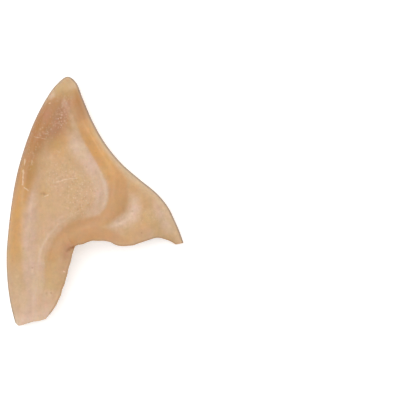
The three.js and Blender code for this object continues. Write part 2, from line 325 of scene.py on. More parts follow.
def drawn(chains, points, shoulder, rounding=0, softening=0):
    """How high and how low chains stand at points of the plan. A wide chain may get a softer shoulder."""
    high = np.zeros(points.shape[:-1])
    low = np.zeros(points.shape[:-1])
    for start, end, (start_reach, start_rise), (end_reach, end_rise) in links_of(chains):
        share, gap = gaps_to(start, end, points)
        distance = np.sqrt(gap[..., 0] ** 2 + gap[..., 1] ** 2 + rounding**2)
        reach = mix(start_reach, end_reach, share) * EAR_WIDTH
        ease = smooth((reach - distance) / (shoulder + reach * softening) + 0.5)
        shaped = mix(start_rise, end_rise, share) * ease
        high = np.maximum(high, shaped)
        low = np.minimum(low, shaped)
    return high, low


print(sum(1 for link in links_of(FOLDS)), "stretches of fold")

# %% [markdown]
# ## Small unevenness
#
# Cast latex is never as smooth as its drawing. It dries in slow waves, shows a crease where it was pulled
# out of the mould, and its lips are trimmed with scissors. The creases are charted as the folds are, with a
# depth in place of the rise. Perlin noise gives the waves. It depends only on the place, so every run gives
# the same ear.

# %% Make the creases
CREASE_DEPTH = 0.4  # millimetres
CREASE_SHOULDER = 1.6  # the width over which a crease sinks in
CREASES = {
    "corner_pinch": [(0.35, 0.36, 0.004, 0.2), (0.372, 0.335, 0.006, 1), (0.392, 0.326, 0.006, 1)],
    "corner_fold": [(0.42, 0.372, 0.004, 0.2), (0.4, 0.345, 0.005, 0.8), (0.396, 0.328, 0.005, 0.9)],
    "tail_wrinkle": [(0.352, 0.3, 0.003, 0.3), (0.362, 0.306, 0.005, 1), (0.376, 0.318, 0.005, 0.8)],
    "nick": [(0.2, 0.531, 0.002, 0.4), (0.214, 0.528, 0.004, 0.9), (0.23, 0.53, 0.002, 0.3)],
}


def fold_relief(points):
    """The rise of the folds and the depth of the creases, in millimetres."""
    high, low = drawn(FOLDS, points, FOLD_SHOULDER, FOLD_ROUNDING, FOLD_SOFTENING)
    creased, _ = drawn(CREASES, points, CREASE_SHOULDER)
    return (high + low) * FOLD_DEPTH, creased * CREASE_DEPTH


print(len(CREASES), "creases of up to", CREASE_DEPTH, "mm")

# %% Make the waves
WAVES = (
    # the size of a wave and its depth, in millimetres
    (7.0, 0.2),
    (2.6, 0.08),
    (1.1, 0.03),
)


def waves_at(points, seed):
    """Slow waves in millimetres, from Perlin noise at three sizes."""
    flat = points.reshape(-1, 2)
    total = np.zeros(len(flat))
    for size, depth in WAVES:
        found = [noise.noise(Vector((x / size, y / size, seed + size))) for x, y in flat]
        total += depth * np.array(found)
    return total.reshape(points.shape[:-1])


print("waves of", [depth for _, depth in WAVES], "mm")

# %% [markdown]
# ## The two walls
#
# At every place of a rib there are two levels: the face, and the back wall that lies on the table. Near the
# rim both roll together. The wall thins towards the trimmed lips, and the pointed tip is filled with pooled
# latex. The lips wander a little, as a cut by hand does.

# %% Cut the lip by hand
CUT_DEPTH = 0.3  # how far the cut wanders, in millimetres
CUT_WAVES = 0.35  # the waves of the cut in each millimetre
CUT_SEED = 5
CUT_SPARED = 0.3  # the lip is cut this far outside its line
drawn_length = np.linalg.norm(drawn_lip - rim, axis=1)
along = (drawn_lip - rim) / drawn_length[:, None]
cut = [noise.noise(Vector((x * CUT_WAVES, y * CUT_WAVES, CUT_SEED))) for x, y in drawn_lip]
length = drawn_length + CUT_SPARED + np.array(cut) * CUT_DEPTH
lip = rim + along * length[:, None]
front_line = np.concatenate([rim[:1], lip])
print("the longest rib is", round(length.max(), 1), "mm")

# %% Measure where the inside and the back wall begin and end
def wall_at(points, edge_line):
    """The thickness of a wall, thinner near the line of its trimmed edge."""
    return mix(FEATHER_WALL, WALL, smooth(distance_to(edge_line, points) / FEATHER_REACH))


tangent = np.gradient(rim, axis=0)
tangent /= np.linalg.norm(tangent, axis=1)[:, None]
crossing = np.abs(tangent[:, 0] * along[:, 1] - tangent[:, 1] * along[:, 0])
tip_row = int(np.argmax(RIBS[:, 1]))
pooled = TIP_FILL * smooth(1 - np.abs(rib_places - tip_row) / TIP_FILL_ROWS)
inset = wall_at(rim, front_line) / crossing + pooled
back_reach = np.minimum(np.maximum(fan["cover"] * length, inset + BACK_HEM), length)
inner_rim = rim + along * inset[:, None]
back_line = np.concatenate([rim[:1], rim + along * back_reach[:, None]])
print("the latex is", round(inset.max(), 1), "mm thick at the tip")

# %% Find the levels of the face and the back
def levels_at(reach):
    """The plan places and the two levels at some reaches along every rib, a row of reaches for each rib."""
    points = rim[:, None] + along[:, None] * reach[..., None]
    share = smooth(reach / length[:, None])
    roll = (fan["roll"] * ROLL_RADIUS)[:, None]
    from_rim = distance_to(rim, points)
    relief, creased = fold_relief(points)
    settled = smooth(from_rim / roll)
    face_wall, back_wall = wall_at(points, front_line), wall_at(points, back_line)
    back = mix((fan["back_up"] * BACK_LIFT)[:, None], (fan["mouth_up"] * MOUTH_LIFT)[:, None], share)
    back_z = np.maximum(0, back + relief * settled * BACK_FOLLOW)
    face = mix((fan["face_up"] * FACE_HEIGHT)[:, None], (fan["lip_up"] * LIP_HEIGHT)[:, None], share)
    face = face + relief * settled
    face_z = np.maximum(face, back_z + back_wall + NARROWEST_GAP + face_wall)
    return dict(points=points, roll=roll, from_rim=from_rim, settled=settled, creased=creased,
                face_wall=face_wall, back_wall=back_wall, face_z=face_z, back_z=back_z)


halfway = levels_at(length[:, None] / 2)
print("halfway along its ribs the face is up to", round(halfway["face_z"].max(), 1), "mm high")

# %% Shape the outside and the inside of a wall
FACE_SEED = 0
BACK_SEED = 40
BACK_WAVINESS = 0.5
rim_z = (fan["rim_up"] * RIM_HEIGHT)[:, None]


def outer_skin(reach, side):
    """The outside of one wall. The waves and creases lie on the face, and fainter waves on the back."""
    found = levels_at(reach)
    height = mix(rim_z, found[side + "_z"], rolled(found["from_rim"] / found["roll"]))
    waves = waves_at(found["points"], FACE_SEED if side == "face" else BACK_SEED) * found["settled"]
    if side == "face":
        height = height + waves - found["creased"] * found["settled"]
    else:
        height = np.maximum(height + waves * BACK_WAVINESS, 0)
    return np.dstack([found["points"], height])


def inner_skin(reach, side):
    """The inside of one wall."""
    found = levels_at(reach)
    wall = found[side + "_wall"]
    level = found["face_z"] - wall if side == "face" else found["back_z"] + wall
    inner_roll = np.maximum(found["roll"] - wall, wall)
    height = mix(rim_z, level, rolled(distance_to(inner_rim, found["points"]) / inner_roll))
    return np.dstack([found["points"], height])


print("the rim runs from", rim_z.min().round(1), "to", rim_z.max().round(1), "mm above the table")

# %% [markdown]
# ## One sheet, wrapped into a shell
#
# A grid is Blender's plainest sheet. Its rows become the ribs. Its columns run once round the wall: over
# the face from the lip to the rim, under it along the back wall, round that wall's lip, and along the
# inside back to the first lip, where the two sides of the sheet are welded. Both lips get a half-round nose
# of a few columns.

# %% Share out the columns of the sheet
ROLL_STEPS = 12
FACE_STEPS = 106
BACK_STEPS = 28
INNER_BACK_STEPS = 16
INNER_FACE_STEPS = 22


def reaches(start, roll, end, steps):
    """Reaches from the start of a roll to the end of a wall, close together where the roll turns."""
    roll_end = np.minimum(start + roll, mix(start, end, ROLL_STEPS / (ROLL_STEPS + steps)))
    turning = 1 - np.cos(np.arange(ROLL_STEPS) / ROLL_STEPS * math.pi / 2)
    straight = np.linspace(0, 1, steps + 1)
    on_roll = mix(start[:, None], roll_end[:, None], turning)
    past_roll = mix(roll_end[:, None], end[:, None], straight)
    return np.hstack([on_roll, past_roll])


print("each wall turns over in", ROLL_STEPS, "columns")

# %% Round the lips
NOSE_STEPS = 5
NOSE_REACH = 0.3  # how far the nose stands out past the wall, in millimetres


def nose(outer_edge, inner_edge):
    """The half-round edge between the two sides of a wall, from its outer to its inner side."""
    middle = (outer_edge + inner_edge) / 2
    half = (outer_edge - inner_edge) / 2
    outwards = np.hstack([along, np.zeros((len(along), 1))]) * NOSE_REACH
    turns = np.arange(1, NOSE_STEPS) / NOSE_STEPS * math.pi
    rounded = [middle + half * math.cos(turn) + outwards * math.sin(turn) for turn in turns]
    return np.stack(rounded, axis=1)


print("a lip is rounded in", NOSE_STEPS, "steps")

# %% Wrap the sheet round both walls
SHORTEST_FACE = 0.8  # the least share of a rib that is left when its nose is taken off
roll = fan["roll"] * ROLL_RADIUS
lip_reach = np.maximum(length - NOSE_REACH, length * SHORTEST_FACE)
hem_reach = np.maximum(back_reach - NOSE_REACH, inset)
rim_start = np.zeros(len(rib_places))
face = outer_skin(reaches(rim_start, roll, lip_reach, FACE_STEPS), "face")[:, ::-1]
back = outer_skin(reaches(rim_start, roll, hem_reach, BACK_STEPS), "back")[:, 1:]
inner_back = inner_skin(reaches(inset, roll, hem_reach, INNER_BACK_STEPS), "back")[:, ::-1]
inner_face = inner_skin(reaches(inset, roll, lip_reach, INNER_FACE_STEPS), "face")[:, 1:]
stretches = {
    "face": face,
    "back": back,
    "hem": nose(back[:, -1], inner_back[:, 0]),
    "inner back": inner_back,
    "inner face": inner_face,
    "lip": nose(face[:, 0], inner_face[:, -1])[:, ::-1],
    "seam": face[:, :1],
}
wrapped = np.concatenate(list(stretches.values()), axis=1)
print("the sheet has", wrapped.shape[0], "ribs and", wrapped.shape[1], "columns")

# %% Trim the tail's end by hand
END_REACH = 5  # how far up the tail the trimming is felt, in millimetres
END_TRIM = np.array([
    # the share of the way from the rim to the lip, and how far the end is cut back, in millimetres
    (0, 1.3), (0.09, -0.15), (0.25, -0.2), (0.45, 0.1), (0.7, -0.45), (0.92, -0.4), (1, 0.3),
])
from_rim_share = np.linalg.norm(wrapped[..., :2] - rim[:, None], axis=-1) / length[:, None]
cut_back = np.interp(from_rim_share, *END_TRIM.T)
from_end = np.linalg.norm(rim - rim[0], axis=1)[:, None]
wrapped[..., :2] += (cut_back * smooth(1 - from_end / END_REACH))[..., None] * tangent[0]
print("the end is cut back by up to", END_TRIM[:, 1].max(), "mm")

# %% [markdown]
# ## Where the tints lie
#
# The tint of a used ear tip follows its folds. White casting powder stays in the grooves, handling rubs the
# ridges to a warm orange, the latex is darker near the pointed tip and paler where it is trimmed thin, and
# painted shade and a painted highlight run along parts of the rim. The next cells chart this, a tint or two
# each, as the folds are charted: a place, a reach and a strength. A short chain of two near places is a
# spot. The chains were set by looking at a photo of a worn ear tip and moved until the render came near it.
# Each tint is kept as a value at each corner of the mesh, which a material can read as an attribute.

# %% Chart the powder
TINTS = {}
TINTS["powder"] = {
    "helix_groove": [
        (0.175, 0.586, 0.011, 0.3), (0.161, 0.542, 0.017, 0.6), (0.152, 0.49, 0.025, 0.95),
        (0.144, 0.426, 0.037, 1), (0.138, 0.347, 0.039, 0.95), (0.141, 0.267, 0.039, 0.9),
        (0.146, 0.187, 0.039, 0.85), (0.158, 0.108, 0.039, 0.6),
    ],
    "scapha_border": [
        (0.383, 0.753, 0.034, 0.5), (0.406, 0.729, 0.051, 1), (0.445, 0.697, 0.056, 1),
        (0.485, 0.653, 0.051, 1), (0.513, 0.614, 0.045, 1), (0.532, 0.574, 0.042, 1),
        (0.541, 0.534, 0.039, 1), (0.535, 0.494, 0.037, 1), (0.51, 0.466, 0.031, 0.9),
        (0.462, 0.454, 0.023, 0.6),
    ],
    "scapha_foot": [
        (0.462, 0.454, 0.017, 0.2), (0.417, 0.452, 0.017, 0.25), (0.366, 0.44, 0.02, 0.45),
        (0.315, 0.418, 0.023, 0.6), (0.276, 0.39, 0.023, 0.65), (0.237, 0.359, 0.023, 0.6),
        (0.208, 0.323, 0.025, 0.65), (0.192, 0.267, 0.023, 0.7), (0.186, 0.187, 0.023, 0.6),
    ],
    "fossa": [
        (0.715, 0.518, 0.02, 0.5), (0.727, 0.502, 0.028, 0.75), (0.73, 0.474, 0.034, 0.85),
        (0.707, 0.442, 0.034, 0.95), (0.668, 0.424, 0.032, 1), (0.623, 0.414, 0.024, 0.95),
        (0.592, 0.404, 0.015, 0.5),
    ],
    "flap_end": [
        (0.851, 0.486, 0.023, 0.75), (0.873, 0.442, 0.034, 0.85), (0.913, 0.39, 0.028, 0.8),
    ],
    "scapha_top": [(0.4, 0.733, 0.017, 0.6), (0.434, 0.701, 0.023, 0.6)],
}
print(len(TINTS["powder"]), "chains of powder")

# %% Chart the chalk lines
TINTS["chalk"] = {
    "scapha_rim": [
        (0.473, 0.681, 0.006, 0.2), (0.507, 0.645, 0.007, 0.6), (0.535, 0.608, 0.008, 0.9),
        (0.555, 0.57, 0.008, 1), (0.565, 0.534, 0.008, 1), (0.562, 0.502, 0.008, 0.8),
        (0.546, 0.474, 0.007, 0.5),
    ],
    "foot_line": [
        (0.349, 0.434, 0.002, 0.4), (0.293, 0.406, 0.003, 0.6), (0.248, 0.371, 0.004, 0.8),
        (0.22, 0.339, 0.005, 0.9), (0.197, 0.307, 0.005, 0.9), (0.186, 0.259, 0.004, 0.7),
        (0.18, 0.207, 0.003, 0.4),
    ],
    "groove_line": [
        (0.152, 0.538, 0.003, 0.4), (0.144, 0.49, 0.005, 0.8), (0.138, 0.442, 0.005, 0.75),
        (0.132, 0.394, 0.005, 0.5), (0.13, 0.347, 0.003, 0.2),
    ],
    "tail_line": [
        (0.141, 0.275, 0.005, 0.25), (0.149, 0.227, 0.007, 0.5), (0.158, 0.179, 0.005, 0.5),
        (0.152, 0.108, 0.005, 0.6), (0.146, 0.052, 0.003, 0.4),
    ],
    "fossa_line": [
        (0.603, 0.404, 0.007, 0.5), (0.642, 0.414, 0.008, 0.8), (0.682, 0.428, 0.009, 0.8),
        (0.71, 0.452, 0.009, 0.7), (0.721, 0.478, 0.007, 0.4), (0.715, 0.506, 0.006, 0.2),
    ],
    "tip_leg": [
        (0.338, 0.888, 0.01, 0.25), (0.355, 0.861, 0.011, 0.28), (0.369, 0.833, 0.013, 0.32),
        (0.383, 0.801, 0.015, 0.36), (0.4, 0.769, 0.017, 0.4),
    ],
    "tip_spot": [(0.327, 0.908, 0.006, 0.45), (0.321, 0.884, 0.007, 0.35)],
    "tip_patch": [
        (0.279, 0.942, 0.007, 0.3), (0.268, 0.926, 0.011, 0.7), (0.252, 0.912, 0.008, 0.6),
    ],
    "scapha_top": [(0.4, 0.733, 0.02, 0.35), (0.439, 0.701, 0.023, 0.4), (0.468, 0.673, 0.017, 0.3)],
    "tail_streak": [
        (0.203, 0.287, 0.008, 0.2), (0.208, 0.255, 0.014, 0.5), (0.203, 0.219, 0.011, 0.35),
        (0.203, 0.183, 0.017, 0.5), (0.197, 0.139, 0.011, 0.25),
    ],
}
print(len(TINTS["chalk"]), "chains of chalk")

# %% [markdown]
# ## Rubbed and warm ridges
#
# The crests are handled the most. Their powder is gone and the latex shows its own warm orange, browner
# round the opening. Along the left rim the brown is painted shade, on the side turned away from the light.

# %% Chart the rubbed and the warm ridges
TINTS["rubbed"] = {
    "front_edge": [
        (0.428, 0.833, 0.034, 0), (0.451, 0.797, 0.042, 0.35), (0.465, 0.769, 0.042, 0.7),
        (0.487, 0.741, 0.042, 0.9), (0.524, 0.697, 0.042, 0.95), (0.552, 0.665, 0.045, 0.8),
        (0.577, 0.637, 0.051, 0.55), (0.603, 0.61, 0.056, 0.35), (0.631, 0.578, 0.056, 0.15),
    ],
}
TINTS["warm"] = {
    "helix": [
        (0.113, 0.673, 0.028, 0.7), (0.082, 0.618, 0.039, 1), (0.068, 0.562, 0.042, 1),
        (0.059, 0.486, 0.045, 1), (0.054, 0.406, 0.051, 1), (0.059, 0.323, 0.056, 0.8),
        (0.056, 0.243, 0.045, 0.4), (0.062, 0.187, 0.034, 0.15),
    ],
    "flap": [
        (0.715, 0.554, 0.028, 0.5), (0.811, 0.426, 0.034, 0.35), (0.699, 0.363, 0.028, 0.4),
    ],
    "tail": [(0.259, 0.283, 0.034, 0.5), (0.265, 0.207, 0.028, 0.3)],
    "upper_plateau": [(0.321, 0.745, 0.039, 0.6), (0.293, 0.697, 0.039, 0.6), (0.282, 0.657, 0.028, 0.3)],
    "behind_plateau": [
        (0.146, 0.649, 0.023, 0.8), (0.135, 0.602, 0.028, 1), (0.121, 0.554, 0.025, 1),
        (0.113, 0.506, 0.02, 0.9), (0.107, 0.458, 0.017, 0.5),
    ],
    "nick": [(0.22, 0.534, 0.017, 0.6), (0.237, 0.53, 0.011, 0.4)],
    "front_root": [
        (0.552, 0.657, 0.034, 0.5), (0.58, 0.633, 0.039, 0.85), (0.608, 0.606, 0.045, 0.95),
        (0.637, 0.574, 0.045, 0.7),
    ],
    "tail_middle": [
        (0.248, 0.259, 0.023, 0.4), (0.259, 0.207, 0.023, 0.5), (0.248, 0.147, 0.023, 0.4),
        (0.208, 0.1, 0.023, 0.3),
    ],
    "tip_front": [
        (0.417, 0.833, 0.023, 0.3), (0.439, 0.805, 0.028, 0.7), (0.456, 0.781, 0.028, 0.5),
    ],
    "flap_middle": [(0.806, 0.442, 0.023, 0.4), (0.823, 0.41, 0.017, 0.2)],
    "tip_behind": [
        (0.237, 0.88, 0.023, 0.4), (0.197, 0.833, 0.028, 0.5), (0.163, 0.785, 0.028, 0.5),
        (0.13, 0.725, 0.028, 0.5),
    ],
}
print(len(TINTS["rubbed"]), "chain of rubbed latex and", len(TINTS["warm"]), "of warm latex")

# %% Chart the brown ridges and the painted shade along the left rim
TINTS["brown_and_rim_shade"] = {
    "antihelix": [
        (0.603, 0.618, 0.034, 0.25), (0.631, 0.578, 0.048, 0.5), (0.634, 0.538, 0.052, 0.7),
        (0.633, 0.506, 0.052, 0.8), (0.623, 0.48, 0.05, 0.8), (0.594, 0.456, 0.042, 0.8),
        (0.552, 0.428, 0.034, 0.75), (0.496, 0.412, 0.039, 0.7), (0.428, 0.402, 0.039, 0.65),
        (0.372, 0.384, 0.042, 0.6), (0.327, 0.355, 0.039, 0.6), (0.293, 0.319, 0.034, 0.5),
        (0.27, 0.279, 0.028, 0.45),
    ],
    "lower_lip": [
        (0.394, 0.351, 0.028, 0.8), (0.451, 0.369, 0.039, 0.95), (0.513, 0.38, 0.039, 0.9),
        (0.575, 0.371, 0.031, 0.7), (0.631, 0.355, 0.023, 0.55), (0.687, 0.343, 0.017, 0.4),
    ],
    # painted shade: darker along the left rim, on the side turned away from the light
    "left_rim_shade": [
        (0.118, 0.685, 0.011, 0.4), (0.085, 0.629, 0.014, 0.8), (0.07, 0.586, 0.014, 0.7),
        (0.056, 0.526, 0.011, 0.35), (0.045, 0.466, 0.011, 0.2),
    ],
}
print(len(TINTS["brown_and_rim_shade"]), "chains of brown")

# %% [markdown]
# ## Dark and rosy places
#
# The latex that pools in the pointed tip is darker and a little rosy. The tight corner of the opening and a
# nick of the face are darker too. A thin dark line along the upper rim is painted shade, where the rim turns
# away from the light.

# %% Chart the shade
TINTS["shade"] = {
    "tip_behind": [
        (0.276, 0.896, 0.039, 0.8), (0.22, 0.825, 0.056, 1), (0.18, 0.757, 0.051, 0.95),
        (0.146, 0.697, 0.039, 0.85), (0.13, 0.641, 0.031, 0.8), (0.13, 0.594, 0.025, 0.7),
        (0.124, 0.554, 0.02, 0.3),
    ],
    "tip_front": [
        (0.389, 0.924, 0.031, 0.8), (0.403, 0.896, 0.037, 0.95), (0.417, 0.865, 0.039, 0.88),
        (0.428, 0.833, 0.037, 0.7), (0.439, 0.805, 0.028, 0.35),
    ],
    "tip_middle": [
        (0.338, 0.904, 0.045, 0.8), (0.327, 0.857, 0.051, 0.75), (0.315, 0.805, 0.045, 0.7),
        (0.287, 0.761, 0.045, 0.55), (0.248, 0.725, 0.034, 0.35),
    ],
    "corner": [
        (0.417, 0.347, 0.02, 0.4), (0.383, 0.339, 0.025, 0.7), (0.355, 0.323, 0.025, 0.8),
        (0.338, 0.291, 0.023, 0.6), (0.321, 0.243, 0.017, 0.3),
    ],
}
print(len(TINTS["shade"]), "chains of shade")

# %% Chart the dark marks, the painted shade along the upper rim, and the rosy places
TINTS["dark_marks_and_rim_shade"] = {
    "corner": [(0.385, 0.32, 0.008, 1), (0.369, 0.315, 0.006, 0.9), (0.352, 0.307, 0.006, 0.6)],
    "nick": [(0.202, 0.532, 0.003, 0.7), (0.212, 0.533, 0.005, 1), (0.222, 0.53, 0.003, 0.6)],
    "tail_spot": [(0.231, 0.137, 0.003, 0.6), (0.232, 0.135, 0.003, 0.6)],
    # painted shade: a thin dark line along the upper left rim, where the rim turns away from the light
    "upper_left_rim_shade": [
        (0.214, 0.88, 0.003, 0.5), (0.175, 0.825, 0.002, 0.45), (0.124, 0.733, 0.003, 0.7),
        (0.085, 0.645, 0.003, 0.9), (0.062, 0.566, 0.003, 0.6), (0.039, 0.486, 0.002, 0.3),
        (0.023, 0.406, 0.002, 0.2),
    ],
}
TINTS["rosy"] = {
    "tip": [
        (0.338, 0.888, 0.025, 0.75), (0.315, 0.857, 0.037, 1), (0.304, 0.829, 0.037, 0.9),
        (0.293, 0.797, 0.034, 0.6), (0.259, 0.773, 0.028, 0.6), (0.242, 0.757, 0.017, 0.4),
    ],
    "behind": [(0.231, 0.769, 0.023, 0.6), (0.18, 0.757, 0.017, 0.4)],
    "helix": [(0.13, 0.673, 0.014, 0.25), (0.107, 0.602, 0.011, 0.2), (0.09, 0.554, 0.011, 0.15)],
    "corner": [(0.361, 0.347, 0.017, 0.4), (0.349, 0.323, 0.02, 0.7), (0.344, 0.291, 0.017, 0.7)],
    "spots": [(0.856, 0.482, 0.007, 0.7), (0.856, 0.478, 0.007, 0.7)],
    "tip_left": [
        (0.259, 0.876, 0.023, 0.4), (0.237, 0.853, 0.028, 0.6), (0.225, 0.821, 0.023, 0.35),
    ],
}
print(len(TINTS["dark_marks_and_rim_shade"]), "chains of stain and", len(TINTS["rosy"]), "of rosy latex")

# %% [markdown]
# ## Olive, thin and bleached places, and a painted highlight
#
# Old latex turns olive in broad patches. Where it is trimmed thin the white floor shines through, and the
# end of the tail has bleached. A pale line along the front rim is a painted highlight.

# %% Chart the olive places
TINTS["olive"] = {
    "tip_cap": [
        (0.355, 0.984, 0.023, 0.7), (0.338, 0.96, 0.028, 0.9), (0.304, 0.936, 0.025, 0.9),
        (0.338, 0.928, 0.025, 1), (0.372, 0.936, 0.023, 1),
    ],
    "helix": [(0.152, 0.649, 0.014, 0.8), (0.146, 0.586, 0.014, 0.8)],
    "flap": [
        (0.783, 0.506, 0.028, 0.4), (0.823, 0.458, 0.034, 0.5), (0.868, 0.386, 0.028, 0.4),
        (0.941, 0.347, 0.023, 0.45),
    ],
    "tail": [(0.27, 0.259, 0.023, 0.5), (0.254, 0.167, 0.028, 0.6)],
    "plateau": [(0.406, 0.641, 0.023, 0.4), (0.338, 0.673, 0.023, 0.3)],
    "below_tip": [(0.304, 0.749, 0.023, 0.7), (0.282, 0.717, 0.023, 0.4)],
}
print(len(TINTS["olive"]), "chains of olive")

# %% Chart the thin places, the painted highlight on the front rim, and the bleached places
TINTS["thin"] = {
    "tip_cap": [(0.355, 0.996, 0.023, 0.8), (0.344, 0.972, 0.034, 0.7), (0.31, 0.952, 0.023, 0.6)],
    # a painted highlight: a pale line of light along the front rim
    "front_rim_highlight": [
        (0.504, 0.773, 0.009, 0.5), (0.561, 0.709, 0.012, 0.7), (0.623, 0.653, 0.011, 0.65),
        (0.69, 0.608, 0.017, 0.7), (0.761, 0.566, 0.017, 0.65), (0.811, 0.534, 0.014, 0.6),
        (0.868, 0.494, 0.014, 0.5), (0.913, 0.45, 0.014, 0.5), (0.946, 0.398, 0.014, 0.6),
    ],
    "tail_lip": [
        (0.304, 0.139, 0.011, 0.5), (0.27, 0.092, 0.017, 0.7), (0.231, 0.052, 0.017, 0.8),
    ],
    "front_end": [
        (0.941, 0.382, 0.017, 0.7), (0.969, 0.351, 0.017, 0.8), (0.997, 0.331, 0.014, 0.8),
    ],
    "tip_cap_front": [(0.344, 0.972, 0.028, 0.8), (0.383, 0.964, 0.023, 0.9)],
    "tail_lower_lip": [
        (0.231, 0.12, 0.028, 0.9), (0.254, 0.163, 0.028, 0.75), (0.265, 0.203, 0.023, 0.5),
        (0.27, 0.243, 0.017, 0.2),
    ],
    "flap": [(0.811, 0.454, 0.028, 0.6), (0.817, 0.426, 0.023, 0.5)],
    "tail_streaks": [
        (0.197, 0.211, 0.014, 0.7), (0.203, 0.171, 0.017, 0.8), (0.197, 0.135, 0.017, 0.6),
    ],
    "tail_left": [
        (0.051, 0.235, 0.023, 0.25), (0.056, 0.195, 0.028, 0.55), (0.068, 0.147, 0.028, 0.7),
        (0.073, 0.108, 0.023, 0.5),
    ],
}
TINTS["bleached"] = {
    "tail_end": [
        (0.056, 0.008, 0.07, 1), (0.135, 0.016, 0.075, 1), (0.225, 0.05, 0.06, 0.9),
    ],
    "tail_right": [(0.208, 0.092, 0.039, 0.5), (0.22, 0.124, 0.028, 0.3)],
    "tail_left": [(0.056, 0.096, 0.034, 0.45), (0.062, 0.02, 0.045, 0.8)],
    "tail_middle": [
        (0.18, 0.175, 0.023, 0.7), (0.135, 0.108, 0.028, 0.8), (0.118, 0.068, 0.034, 1),
        (0.124, 0.028, 0.034, 0.8),
    ],
}
print(len(TINTS["thin"]), "chains of thin latex and", len(TINTS["bleached"]), "of bleached latex")

# %% [markdown]
# ## Grain and bubbles
#
# Two more charts don't colour the latex themselves. They say where its grain shows, and where small
# bubbles broke when it was poured. The pale rings of the bubbles are partly painted glints of light.

# %% Chart the grain, and the bubbles with their painted glints
TINTS["grain"] = {
    "plateau": [
        (0.293, 0.685, 0.062, 0.5), (0.304, 0.586, 0.085, 0.8), (0.428, 0.542, 0.09, 1),
        (0.4, 0.478, 0.062, 1),
    ],
    "tip": [
        (0.327, 0.904, 0.039, 0.6), (0.304, 0.833, 0.051, 1), (0.237, 0.777, 0.045, 0.9),
        (0.18, 0.753, 0.034, 0.7), (0.124, 0.645, 0.034, 0.6),
    ],
    "flap": [(0.642, 0.418, 0.045, 0.4), (0.839, 0.446, 0.056, 0.5)],
}
TINTS["bubbly_and_glinting"] = {
    "tip": [
        (0.299, 0.853, 0.012, 0.8), (0.315, 0.833, 0.015, 1), (0.293, 0.821, 0.015, 1),
        (0.31, 0.801, 0.012, 0.9),
    ],
    "behind": [(0.225, 0.855, 0.008, 1), (0.226, 0.854, 0.008, 1)],
    "lower": [(0.248, 0.777, 0.011, 1), (0.225, 0.765, 0.011, 1), (0.239, 0.755, 0.009, 0.8)],
    "near_edge": [(0.18, 0.763, 0.007, 0.9), (0.181, 0.762, 0.007, 0.9)],
}
print("tints:", ", ".join(TINTS))

# %% Measure the tints at each corner of the sheet
TINT_SHOULDERS = {
    # the width over which each tint fades out, in millimetres
    "powder": 3.2, "chalk": 1.3, "rubbed": 1.3, "warm": 3.5, "brown_and_rim_shade": 1.6, "shade": 4.5,
    "dark_marks_and_rim_shade": 1.3, "rosy": 2.8, "olive": 3.5, "thin": 2.2, "bleached": 7, "grain": 6, "bubbly_and_glinting": 1.2,
}


def tint_of(name, points):
    high, _ = drawn(TINTS[name], points, TINT_SHOULDERS[name])
    return high


column_side = np.concatenate([np.full(part.shape[1], side) for side, part in stretches.items()])
on_face = np.isin(column_side, ("face", "seam"))
inside = np.isin(column_side, ("inner back", "inner face"))
values = {name: np.zeros(wrapped.shape[:2]) for name in TINTS}
for name in TINTS:
    values[name][:, on_face] = tint_of(name, wrapped[:, on_face, :2])
values["thin"][:, ~on_face] = tint_of("thin", wrapped[:, ~on_face, :2])
print("the face has", on_face.sum(), "of", len(column_side), "columns, and the inside", inside.sum())

# %% Mark the inside, and the painted shade along the rim and the lip
# The edge and lip values are painted shade: dark lines where the rolled rim and the cut lip turn away from
# the light.
RIM_SHADE_WIDTH = 0.75  # the dark line inside the rim, in millimetres
UNDER_RIM_SHADE_WIDTH = 0.12  # the same under the rim
LIP_SHADE_WIDTH = 0.8  # the dark line along the cut lip
rim_shade_widths = np.where(on_face, RIM_SHADE_WIDTH, UNDER_RIM_SHADE_WIDTH)
values["inside"] = np.broadcast_to(inside.astype(float), wrapped.shape[:2])
values["edge"] = (1 - smooth(distance_to(rim, wrapped[..., :2]) / rim_shade_widths)) * ~inside
values["lip"] = (1 - smooth(distance_to(lip, wrapped[..., :2]) / LIP_SHADE_WIDTH)) * on_face
print(len(values), "values for each corner")

# %% [markdown]
# ## From a grid to the ear tip
#
# The grid operator makes every face of the sheet. Each of its corners then moves to its place on the ear
# and takes its tints along. Welding the seam makes a tube, and its two ends, the tail's end and the front
# point, are closed with one face each, bevelled so that no knife edge is left.

# %% Bend a grid into shape
GRID_HALF = 0.5
rib_count, column_count = wrapped.shape[:2]
sheet = bmesh.new()
bmesh.ops.create_grid(sheet, x_segments=column_count - 1, y_segments=rib_count - 1, size=GRID_HALF)
layers = {name: sheet.verts.layers.float.new(name) for name in values}
spots = (wrapped + TO_FRAME) * MM
for corner in sheet.verts:
    column = round((corner.co.x + GRID_HALF) * (column_count - 1))
    rib = round((corner.co.y + GRID_HALF) * (rib_count - 1))
    corner.co = spots[rib, column]
    for name, layer in layers.items():
        corner[layer] = values[name][rib, column]
print(len(sheet.verts), "corners")

# %% Weld the seam and close the ends
SEAM = 1e-6  # corners nearer than this are welded, in metres
END_BEVEL = 0.18 * MM
LARGEST_FACE = 4  # the most corners that a face may keep
bmesh.ops.remove_doubles(sheet, verts=sheet.verts, dist=SEAM)
open_edges = [edge for edge in sheet.edges if edge.is_boundary]
ends = bmesh.ops.holes_fill(sheet, edges=open_edges, sides=0)["faces"]
end_edges = list({edge for end in ends for edge in end.edges})
bmesh.ops.bevel(
    sheet, geom=end_edges, offset=END_BEVEL, segments=2, profile=0.5, affect="EDGES", material=-1,
    clamp_overlap=True,
)
bmesh.ops.triangulate(sheet, faces=[panel for panel in sheet.faces if len(panel.verts) > LARGEST_FACE])
bmesh.ops.recalc_face_normals(sheet, faces=sheet.faces)
for panel in sheet.faces:
    panel.smooth = True
loose = sum(1 for edge in sheet.edges if not edge.is_manifold)
print(len(ends), "ends closed;", len(sheet.faces), "faces;", loose, "loose edges")

